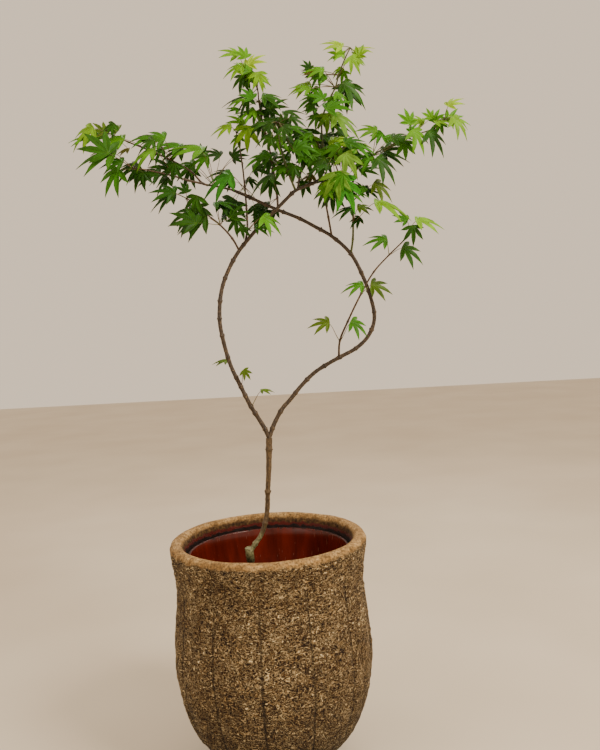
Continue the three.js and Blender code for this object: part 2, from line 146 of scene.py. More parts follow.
def below(value, low, high):
    return maths("SUBTRACT", 1.0, above(value, low, high))


def blend(share, first, second, kind="MIX"):
    node = add("Mix", {"data_type": "RGBA", "blend_type": kind})
    for index, value in ((0, share), (6, first), (7, second)):
        fill(node.inputs[index], value)
    return node.outputs[2]


def ramp(value, stops):
    node = add("ValToRGB", Fac=value)
    elements = node.color_ramp.elements
    while len(elements) < len(stops):
        elements.new(0.5)
    for element, (position, colour) in zip(elements, stops):
        element.position = position
        element.color = shade(colour) if isinstance(colour, str) else (colour, colour, colour, 1.0)
    return node.outputs["Color"]


def object_place():
    return add("TexCoord").outputs["Object"]


def stretched(place, rise):
    """The place with its height scaled: below 1 a pattern grows taller, above 1 flatter."""
    return add("Mapping", Vector=place, Scale=(1.0, 1.0, rise)).outputs["Vector"]


def speckle(place, size, detail=2.0, distortion=0.0, rough=0.5):
    """Soft noise whose patches are about `size` metres across."""
    node = add("TexNoise", Vector=place, Scale=1 / size, Detail=detail,
               Roughness=rough, Distortion=distortion)
    return node.outputs["Fac"]


def from_middle(value):
    """How far a value between 0 and 1 is from its middle."""
    return maths("ABSOLUTE", maths("SUBTRACT", value, 0.5))


def worms(place, size, width, distortion):
    """Thin winding threads: the lines along which a soft noise passes through its middle value."""
    return below(from_middle(speckle(place, size, 1.0, distortion)), 0.0, width)


def bump(height, distance, strength=1.0):
    return add("Bump", Height=height, Distance=distance, Strength=strength).outputs["Normal"]


# %% [markdown]
# Helpers for modelling. A finished piece has its place in its mesh and its object at the origin.
# A turned piece is made as on a wheel: a point is drawn along the half outline and spun round Z.

# %% Helpers for pieces
def mode(name):
    bpy.ops.object.mode_set(mode=name)


def nothing_selected():
    if bpy.context.object and bpy.context.object.mode != "OBJECT":
        mode("OBJECT")
    bpy.ops.object.select_all(action="DESELECT")


def select_only(piece, kind, wanted):
    """Goes into edit mode with just those vertices or polygons selected that `wanted` picks."""
    mode("EDIT")
    bpy.ops.mesh.select_all(action="DESELECT")
    mode("OBJECT")
    for element in getattr(piece.data, kind):
        if wanted(element):
            element.select = True
    mode("EDIT")


def only(piece):
    nothing_selected()
    piece.select_set(True)
    bpy.context.view_layer.objects.active = piece


def finish_piece(piece, name, node, slot, *finishes):
    """Names a piece, gives it its finishes, and lets it stand for its CAD node."""
    piece.name = name
    piece.data.name = name
    if finishes:
        piece.data.materials.clear()
        for finish in finishes:
            piece.data.materials.append(finish)
    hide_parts(node)
    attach(piece, "root")
    low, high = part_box(node)
    corners = [vertex.co for vertex in piece.data.vertices]
    off = max(
        max(low[i] - min(c[i] for c in corners), max(c[i] for c in corners) - high[i])
        for i in range(3)
    )
    print(f"{name}: {len(piece.data.polygons)} faces, stands {off / MM:.1f} mm proud of {node}")


def join_into(piece, others):
    only(piece)
    for other in others:
        other.select_set(True)
    if others:
        bpy.ops.object.join()
    return piece


def smooth_line(points, step):
    """Points about `step` apart on the smooth curve that runs through the given ones."""
    knots = [Vector(p) for p in points]
    before = knots[0] * 2 - knots[1]
    after = knots[-1] * 2 - knots[-2]
    chain = [before, *knots, after]
    line = []
    for a, b, c, d in zip(chain, chain[1:], chain[2:], chain[3:]):
        t0 = 0.0
        t1 = t0 + math.sqrt((b - a).length)
        t2 = t1 + math.sqrt((c - b).length)
        t3 = t2 + math.sqrt((d - c).length)
        count = max(1, round((c - b).length / step))
        for i in range(count):
            t = t1 + (t2 - t1) * i / count
            ab = a.lerp(b, (t - t0) / (t1 - t0))
            bc = b.lerp(c, (t - t1) / (t2 - t1))
            cd = c.lerp(d, (t - t2) / (t3 - t2))
            abc = ab.lerp(bc, (t - t0) / (t2 - t0))
            bcd = bc.lerp(cd, (t - t1) / (t3 - t1))
            line.append(abc.lerp(bcd, (t - t1) / (t2 - t1)))
    return [*line, knots[-1]]


def turned(profile, steps):
    """Draws a vertex along (radius, height) points and spins it round Z into a closed piece."""
    nothing_selected()
    radius, height = profile[0]
    bpy.ops.mesh.primitive_plane_add(size=MM, location=(0, 0, 0))
    piece = bpy.context.object
    mode("EDIT")
    bpy.ops.mesh.select_all(action="SELECT")
    bpy.ops.mesh.merge(type="CENTER")
    bpy.ops.transform.translate(value=(radius, 0, height))
    for (r0, h0), (r1, h1) in zip(profile, profile[1:]):
        bpy.ops.mesh.extrude_region_move(TRANSFORM_OT_translate={"value": (r1 - r0, 0, h1 - h0)})
    bpy.ops.mesh.select_all(action="SELECT")
    bpy.ops.mesh.spin(steps=steps, angle=math.tau, center=(0, 0, 0), axis=(0, 0, 1))
    bpy.ops.mesh.select_all(action="SELECT")
    bpy.ops.mesh.remove_doubles(threshold=0.01 * MM)
    bpy.ops.mesh.normals_make_consistent(inside=False)
    mode("OBJECT")
    bpy.ops.object.shade_smooth()
    return piece


def apply_all(piece):
    only(piece)
    for modifier in list(piece.modifiers):
        bpy.ops.object.modifier_apply(modifier=modifier.name)


def roughen(piece, name, size, height, group="", depth=2):
    """Moves the surface in and out along its normals by a soft pattern of that size."""
    pattern = bpy.data.textures.new(name, "CLOUDS")
    pattern.noise_scale = size
    pattern.noise_depth = depth
    modifier = piece.modifiers.new(name, "DISPLACE")
    modifier.texture = pattern
    modifier.texture_coords = "LOCAL"
    modifier.mid_level = 0.5
    modifier.strength = height
    modifier.vertex_group = group


# %% [markdown]
# The planter is hand-built stoneware: a belly that narrows to a small foot, a slight neck, and a
# thick rolled rim. Its outside was combed while wet, so it is covered with short winding ridges.
# A box-modelled pot would show its corners, and a sculpt could not be read back from the code, so
# the outline is drawn once and turned, then the surface is moved with soft patterns. The side is
# drawn half a pleat further in, because the pleats then push it out by that much on average.

# %% Planter shape
PLANTER_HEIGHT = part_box("planter")[1][2]
RIM_RADIUS = 135 * MM
RIM_WIDTH = 17 * MM
RIM_ROUND = 7 * MM
WALL = 18 * MM
PLANTER_FLOOR = 12 * MM
FLOOR_RADIUS = 47 * MM
FOOT_EDGE = 57.5 * MM
HEEL_HEIGHT = 21 * MM
NECK_RADIUS = 128.5 * MM
NECK_HEIGHT = 265 * MM
RIM_FROM = 296 * MM          # the inside wall ends here, and the rim's waves begin
SIDE = [(60, 0), (77, 21), (114, 62), (136, 145), (128.5, 265), (133, 303)]
PLEAT_DEPTH = 3.4 * MM

drawn = smooth_line([(r * MM, h * MM, 0) for r, h in SIDE], 2.1 * MM)
side = [(p.x - PLEAT_DEPTH / 2, p.y) for p in drawn]
rim = []
RIM_STEPS = 18
for i in range(RIM_STEPS + 1):
    turn = math.pi * i / RIM_STEPS
    rim.append((
        RIM_RADIUS - RIM_WIDTH / 2 * (1 - math.cos(turn)),
        PLANTER_HEIGHT - RIM_ROUND * (1 - math.sin(turn)),
    ))
inside = [(p.x - WALL, p.y) for p in drawn if HEEL_HEIGHT < p.y < RIM_FROM][::-3]
foot = [(0, 0), (50 * MM, 0), (FOOT_EDGE, 0)]
floor_edge = [(FLOOR_RADIUS, PLANTER_FLOOR), (0, PLANTER_FLOOR)]
planter = turned([*foot, *side[1:], *rim, *inside, *floor_edge], 300)
print("planter faces:", len(planter.data.polygons))

# %% [markdown]
# Only the outside below the rim is combed. A vertex group says how strongly each point moves:
# fully on the side, less on the rim, and not at all on the foot's face and the hidden inside.

# %% Planter surface
FOOT_FACE = 56 * MM          # its radius
COMBED_FROM = 1 * MM
COMBED_FULLY = 9 * MM
COMBED_TOP = 308 * MM
COMBED_END = 314 * MM


def combed_share(place):
    radius = math.hypot(place.x, place.y)
    if radius < FOOT_FACE:
        return 0.0
    if place.z < COMBED_TOP:
        share = (place.z - COMBED_FROM) / (COMBED_FULLY - COMBED_FROM)
        return min(1.0, max(0.0, share))
    return max(0.0, 1 - (place.z - COMBED_TOP) / (COMBED_END - COMBED_TOP))


CREASES = 13                 # upright creases where the hand-built panels of clay meet
SEAM_TURN = 1.16             # one of them, in radians clockwise from +X


def pleat_share(place):
    """Soft upright folds between the creases, with slanting swells."""
    around = math.atan2(place.y, place.x)
    crease = max(0.0, math.cos(CREASES * (around + SEAM_TURN))) ** 6
    fold = Vector((math.cos(around) * 5.2, math.sin(around) * 5.2, place.z / (120 * MM)))
    swell = Vector((around * 1.6 + place.z / (60 * MM), place.z / (38 * MM), 3.0))
    return 0.56 + 0.42 * noise.noise(fold) + 0.22 * noise.noise(swell) - 0.24 * crease


combed = planter.vertex_groups.new(name="combed")
rolled = planter.vertex_groups.new(name="rolled")
pleated = planter.vertex_groups.new(name="pleated")
outline = {}
for r, h in side:
    outline[round(h / MM)] = r
for vertex in planter.data.vertices:
    radius = math.hypot(vertex.co.x, vertex.co.y)
    near = outline.get(round(vertex.co.z / MM)) or outline.get(round(vertex.co.z / MM) + 1)
    outer = near is None or radius > near - WALL / 2
    share = combed_share(vertex.co) if outer else 0.0
    combed.add([vertex.index], share, "REPLACE")
    pleated.add([vertex.index], share * pleat_share(vertex.co), "REPLACE")
    rolled.add([vertex.index], 1.0 if vertex.co.z > RIM_FROM else 0.0, "REPLACE")
pleats = planter.modifiers.new("pleats", "DISPLACE")
pleats.vertex_group = "pleated"
pleats.mid_level = 0.0
pleats.strength = PLEAT_DEPTH
roughen(planter, "hand_pressed", 60 * MM, 2.2 * MM, "combed", depth=1)
roughen(planter, "combed_lumps", 9 * MM, 2.6 * MM, "combed", depth=2)
roughen(planter, "combed_ridges", 4.4 * MM, 2.0 * MM, "combed", depth=1)
roughen(planter, "rim_waves", 34 * MM, 1.6 * MM, "rolled", depth=1)
apply_all(planter)
print("planter measures", [round(v / MM, 1) for v in planter.dimensions])

# %% [markdown]
# Stoneware clay: light tan where the comb raised it, dark brown in the grooves between.
# Threads of noise give the ridges, and one height drives both the colour and the bump, so that
# light and colour agree. The rim was wiped smooth, so height fades the combing out there.

# %% Planter finish
# The first seven pairs are heights, in metres, between which one look turns into the next.
FOOT_SHADE_SPAN = (0.0, 0.18)      # painted shade, darkest at the foot and gone above
LIP_STARTS = (0.15, 0.16)    # well below the lip, to keep its colours off the planter's floor
SEAMS_FADE = (0.25, 0.29)
GAP_ENDS = (0.3030, 0.3045)  # the shade in the gap round the inner pot
DRIP_ENDS = (0.3065, 0.3085)  # the red glaze that dripped on the lip
RIM_WIPED = (0.3105, 0.3155)
LIP_ENDS = (0.3115, 0.3175)
LIP_REACH = (0.1185, 0.1225)  # from the axis

stoneware, surface = new_finish("combed_stoneware")
place = object_place()
flat = stretched(place, 1.6)
wide = worms(flat, 9.4 * MM, 0.050, 1.8)
fine = worms(flat, 6.0 * MM, 0.050, 1.4)
hair = worms(place, 3.4 * MM, 0.060, 0.8)
grit = speckle(place, 1.6 * MM, 3.0)
relief = maths("MAXIMUM", wide, times(fine, 0.85))
relief = maths("MAXIMUM", relief, times(hair, 0.48))
relief = linear(grit, 0.26, times(relief, 0.84))
clay = ramp(shifted(relief, speckle(place, 26 * MM, 3.0), 0.42), [
    (0.10, "130904"), (0.29, "2f1d0c"), (0.50, "604524"), (0.74, "aa8752"), (0.98, "e4d1a4"),
])
axes = add("SeparateXYZ", Vector=place)
height = axes.outputs["Z"]
around = maths("ARCTAN2", axes.outputs["Y"], axes.outputs["X"])
around = shifted(maths("ADD", around, SEAM_TURN), speckle(place, 30 * MM, 2.0), 0.03)
panel = maths("FRACT", linear(around, CREASES / math.tau, 0.5))
depth = above(speckle(place, 75 * MM, 1.0), 0.44, 0.58)
seam = times(below(from_middle(panel), 0.010, 0.034), linear(depth, 0.3, 0.7))
seam = times(seam, below(height, *SEAMS_FADE))
clay = blend(times(seam, 0.8), clay, "1a0e06")
# Painted shade: the clay is multiplied darker towards the foot, where less light reaches it.
foot_shade = ramp(above(height, *FOOT_SHADE_SPAN), [(0.0, 0.30), (1.0, 1.0)])
clay = blend(1.0, clay, foot_shade, "MULTIPLY")

ragged = shifted(height, speckle(place, 9 * MM, 3.0), 0.010)
wiped = above(ragged, *RIM_WIPED)
rim_clay = ramp(speckle(place, 10 * MM, 5.0, 0.3, 0.65), [
    (0.28, "6c4e28"), (0.48, "a17d4b"), (0.72, "cfae79"),
])
rim_grit = ramp(speckle(place, 2.4 * MM, 4.0), [(0.36, 0.38), (0.58, 1.06)])
rim_clay = blend(1.0, rim_clay, rim_grit, "MULTIPLY")
rough_lip = ramp(speckle(place, 4 * MM, 4.0), [
    (0.3, "2c1a0c"), (0.55, "5c4122"), (0.8, "8d6b3d"),
])
dripped = below(ragged, *DRIP_ENDS)
rough_lip = blend(dripped, rough_lip, "5a150a")
rough_lip = blend(below(ragged, *GAP_ENDS), rough_lip, "160604")
reach = add("VectorMath", {"operation": "LENGTH"}, Vector=stretched(place, 0.0)).outputs["Value"]
lip = times(below(reach, *LIP_REACH), below(ragged, *LIP_ENDS))
lip = times(lip, above(height, *LIP_STARTS))
combing = times(maths("SUBTRACT", relief, seam), linear(wiped, -0.75, 1.0))
dry = linear(grit, 0.18, 0.74)
feed(
    surface,
    Base_Color=blend(lip, blend(wiped, clay, rim_clay), rough_lip),
    Normal=bump(combing, 1.6 * MM),
    Roughness=linear(times(dripped, lip), -0.45, dry),
    Specular_IOR_Level=0.3,
)
finish_piece(planter, "planter_body", "planter", "stoneware", stoneware)

# %% [markdown]
# Inside stands a glazed pot, a little smaller than the planter, with a thin dark gap round it.
# Its wall is glossy dark red-brown with runs where the glaze pooled, and it turns dark and dull at
# its lip.
# It is turned like the planter, and its drain holes are cut with round cutters.

# %% Inner pot
pot_low, pot_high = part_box("inner_pot")
POT_TOP_RADIUS = pot_high[0]
POT_PLAY = 2.6 * MM          # the gap round it at the planter's neck
POT_NECK_RADIUS = NECK_RADIUS - WALL - POT_PLAY
POT_FOOT_RADIUS = 42 * MM
POT_WALL = 3.5 * MM
POT_LIP = 1.2 * MM
base, top = pot_low[2], pot_high[2]


def pot_radius(level):
    """A straight cone up to the planter's neck, and a steeper one from there to the lip."""
    if level > NECK_HEIGHT:
        share = (level - NECK_HEIGHT) / (top - NECK_HEIGHT)
        return POT_NECK_RADIUS + (POT_TOP_RADIUS - POT_NECK_RADIUS) * share
    share = (level - base) / (NECK_HEIGHT - base)
    return POT_FOOT_RADIUS + (POT_NECK_RADIUS - POT_FOOT_RADIUS) * share


LEVELS = 24
levels = [base + (top - POT_LIP - base) * i / LEVELS for i in range(LEVELS + 1)]
outer_wall = [(pot_radius(level), level) for level in levels]
inner_wall = [(pot_radius(level) - POT_WALL, level) for level in levels if level > base + POT_WALL]
lip_round = [
    (POT_TOP_RADIUS - POT_WALL / 2 * (1 - math.cos(turn)), top - POT_LIP * (1 - math.sin(turn)))
    for turn in [math.pi * i / 6 for i in range(7)]
]
floor_level = base + POT_WALL
pot_profile = [
    (0, base), *outer_wall, *lip_round[1:-1], *inner_wall[::-1],
    (pot_radius(floor_level) - POT_WALL - 1 * MM, floor_level), (0, floor_level),
]
inner_pot = turned(pot_profile, 144)

DRAINS = 5
DRAIN_RADIUS = 5 * MM
DRAIN_CIRCLE = 31 * MM
cutters = []
for i in range(DRAINS):
    turn = math.tau * i / DRAINS
    nothing_selected()
    bpy.ops.mesh.primitive_cylinder_add(
        vertices=24, radius=DRAIN_RADIUS, depth=4 * POT_WALL,
        location=(DRAIN_CIRCLE * math.cos(turn), DRAIN_CIRCLE * math.sin(turn), floor_level),
    )
    cutters.append(bpy.context.object)
cutter = join_into(cutters[0], cutters[1:])
cut = inner_pot.modifiers.new("drains", "BOOLEAN")
cut.operation = "DIFFERENCE"
cut.object = cutter
apply_all(inner_pot)
bpy.data.objects.remove(cutter)
print("inner pot faces after the drains:", len(inner_pot.data.polygons))

# %% Inner pot finish
LIP_WORN = (0.2985, 0.3015)  # heights between which the glaze turns dark and dull at the lip

glaze, surface = new_finish("red_brown_glaze")
place = object_place()
height = add("SeparateXYZ", Vector=place).outputs["Z"]
runs = speckle(stretched(place, 0.16), 14 * MM, 3.0, 0.4)
pool = ramp(runs, [(0.25, "3c0e06"), (0.5, "501409"), (0.72, "61190b"), (0.9, "702410")])
worn = above(shifted(height, speckle(place, 6 * MM, 3.0), 0.012), *LIP_WORN)
scratch = above(speckle(stretched(place, 0.07), 2.2 * MM, 1.0), 0.70, 0.76)
pool = blend(times(scratch, 0.3), pool, "8a5a44")
feed(
    surface,
    Base_Color=blend(worn, pool, "230a05"),
    Normal=bump(runs, 0.5 * MM, 0.5),
    Roughness=linear(worn, 0.6, linear(scratch, 0.25, 0.20)),
    Specular_IOR_Level=0.34,
)
finish_piece(inner_pot, "inner_pot_body", "inner_pot", "glazed_clay", glaze)

# %% [markdown]
# The soil is a dark compost of bark crumbs. It lies as one slightly domed bed with loose crumbs
# scattered on it. Each crumb is a low pebble of a few faces, because hundreds of them are needed.

# %% Soil bed
soil_low, soil_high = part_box("soil")
DOME = 5 * MM                # the bed's middle stands that much higher than its edge
SOIL_EDGE = soil_high[2] - DOME
SOIL_RADIUS = soil_high[0]
SOIL_FOOT_RADIUS = 38 * MM
CRUMBS = 620


def bed_level(radius):
    return SOIL_EDGE + DOME * (1 - (radius / SOIL_RADIUS) ** 2)


rings = [SOIL_RADIUS * (1 - i / 28) for i in range(29)]
bed_top = [(radius, bed_level(radius)) for radius in rings]
bed_side = [(0, soil_low[2]), (SOIL_FOOT_RADIUS, soil_low[2])]
soil = turned([*bed_side, *bed_top], 120)
bed = soil.vertex_groups.new(name="bed")
for vertex in soil.data.vertices:
    near_wall = math.hypot(vertex.co.x, vertex.co.y) > SOIL_RADIUS - 1 * MM
    bed.add([vertex.index], 0.0 if near_wall or vertex.co.z < SOIL_EDGE - 1 * MM else 1.0, "REPLACE")
roughen(soil, "bed_heaps", 26 * MM, 5 * MM, "bed", depth=1)
roughen(soil, "bed_crumbs", 6 * MM, 3.5 * MM, "bed", depth=2)
apply_all(soil)

seeded = random.Random(11)


def crumb(size):
    nothing_selected()
    bpy.ops.mesh.primitive_ico_sphere_add(subdivisions=1, radius=size)
    pebble = bpy.context.object
    mode("EDIT")
    bpy.ops.transform.vertex_random(offset=size * 0.55, seed=seeded.randrange(1, 999))
    bpy.ops.transform.resize(value=(1.0, 0.72, 0.5))
    mode("OBJECT")
    return pebble


def copy_of(piece, matrix):
    """A copy with its own mesh, moved into place in its mesh."""
    twin = bpy.data.objects.new(piece.name, piece.data.copy())
    twin.data.transform(matrix)
    bpy.context.scene.collection.objects.link(twin)
    return twin


crumbs = [crumb(2.2 * MM), crumb(3.2 * MM), crumb(1.6 * MM)]
scattered = []
for i in range(CRUMBS):
    spread = math.sqrt(seeded.random()) * (SOIL_RADIUS - 4 * MM)
    turn = seeded.random() * math.tau
    spot = Vector((spread * math.cos(turn), spread * math.sin(turn), 0))
    spot.z = bed_level(spread) + seeded.uniform(0.0, 1.6) * MM
    spin = Matrix.Rotation(seeded.random() * math.tau, 4, (0, 0, 1))
    lean = Matrix.Rotation(seeded.uniform(-0.6, 0.6), 4, (1, 0, 0))
    scattered.append(copy_of(seeded.choice(crumbs), Matrix.Translation(spot) @ spin @ lean))
join_into(soil, scattered)
for pebble in crumbs:
    bpy.data.objects.remove(pebble)
print("soil faces with crumbs:", len(soil.data.polygons))

# %% Soil finish
compost, surface = new_finish("bark_compost")
lumps = speckle(object_place(), 5 * MM, 4.0)
bark = ramp(lumps, [(0.3, "150d08"), (0.5, "2b1d12"), (0.62, "46321f"), (0.78, "6d5335")])
feed(surface, Base_Color=bark, Normal=bump(lumps, 1.2 * MM), Roughness=0.92)
finish_piece(soil, "soil_bed", "soil", "soil", compost)

# %% [markdown]
# The woody frame. The trunk rises bent out of the soil, was once cut back, and went on thinner
# from a side bud; above the fork two stems bow out, cross and carry the side shoots.
# Maple wood shows rings at its nodes, where pairs of leaves or twigs grew opposite each other.
# Each branch is a curve with its own thickness at each point, because a curve keeps a thin,
# winding tube even, and it is made into a mesh once it is right.

# %% Routes of the branches, in millimetres
TRUNK = [
    (-30, -12, 165), (-27, -10, 215), (-25, -8, 260), (-25, -8, 286), (-24, -8, 300), (-18, -6, 310),
    (-10, -4, 320), (-3, -2, 337), (1, 0, 356), (3, 0, 380), (6, 0, 410), (8, 0, 439), (9, 0, 455),
]
LEFT_STEM = [
    (9, 0, 455), (4, -1, 468), (-6, -3, 487), (-13, -5, 500), (-25, -8, 528), (-37, -11, 558),
    (-45, -14, 593), (-48, -15, 622), (-43, -12, 661), (-31, -9, 690), (-17, -7, 712), (0, -6, 731),
    (18, -7, 749), (38, -8, 766), (50, -8, 777), (63, -6, 788), (90, 0, 799), (97, 3, 803),
]
RIGHT_STEM = [
    (9, 0, 455), (17, 3, 474), (30, 6, 495), (39, 8, 504), (57, 10, 524), (76, 12, 541),
    (93, 14, 551), (111, 15, 560), (136, 16, 572), (152, 16, 586), (161, 15, 603), (163, 14, 618),
    (159, 12, 640), (152, 10, 663), (134, 6, 701), (109, 4, 726), (87, 4, 740), (67, 5, 752),
    (37, 7, 766), (17, 8, 776), (-2, 8, 786), (-22, 4, 795),
]
TWIGS = {
    "lower_left_twig": [
        (-17, -7, 712), (-25, -14, 728), (-40, -22, 746), (-60, -28, 763), (-80, -32, 781),
    ],
    "upright_left_twig": [
        (-9, -6, 721), (-5, 0, 740), (-5, 8, 770), (-6, 14, 800), (-8, 18, 832), (-11, 20, 862),
        (-14, 20, 876),
    ],
    "left_arm": [
        (-22, 4, 795), (-46, 0, 801), (-60, -2, 804), (-76, -4, 821), (-100, -6, 836),
        (-130, -8, 851), (-155, -10, 862), (-185, -12, 877),
    ],
    "left_arm_fork": [
        (-60, -2, 804), (-78, -14, 807), (-98, -26, 812), (-128, -34, 819), (-148, -38, 822),
    ],
    "crossing_twig": [
        (38, -8, 766), (38, -4, 780), (36, 4, 805), (33, 10, 832), (30, 12, 852), (26, 10, 870),
        (22, 8, 892), (20, 4, 910), (19, 0, 926), (12, 0, 940), (4, 0, 952),
    ],
    "left_fork_twig": [
        (63, -6, 788), (57, -16, 803), (51, -24, 822), (46, -28, 842), (44, -30, 872),
    ],
    "right_fork_twig": [
        (66, -5, 790), (69, 10, 806), (75, 22, 828), (80, 30, 850), (83, 32, 866),
    ],
    "leader_twig": [
        (97, 3, 803), (101, 10, 815), (104, 16, 840), (103, 18, 862), (105, 18, 888),
        (115, 13, 911), (124, 8, 925), (129, 6, 940), (139, 4, 962), (146, 2, 974),
    ],
    "inner_right_twig": [
        (109, 4, 726), (105, -10, 750), (101, -22, 776), (101, -28, 796), (112, -32, 822),
    ],
    "right_arm": [
        (134, 6, 701), (137, -2, 720), (138, -8, 741), (139, -12, 770), (140, -14, 795),
        (147, -16, 812), (168, -18, 827), (195, -20, 839), (220, -22, 848), (250, -22, 857),
        (264, -22, 868),
    ],
    "lower_right_twig": [
        (111, 15, 560), (113, 0, 584), (124, -12, 609), (143, -22, 645), (161, -26, 673),
        (182, -28, 694), (202, -29, 712), (210, -30, 722),
    ],
}
print("side shoots:", len(TWIGS))
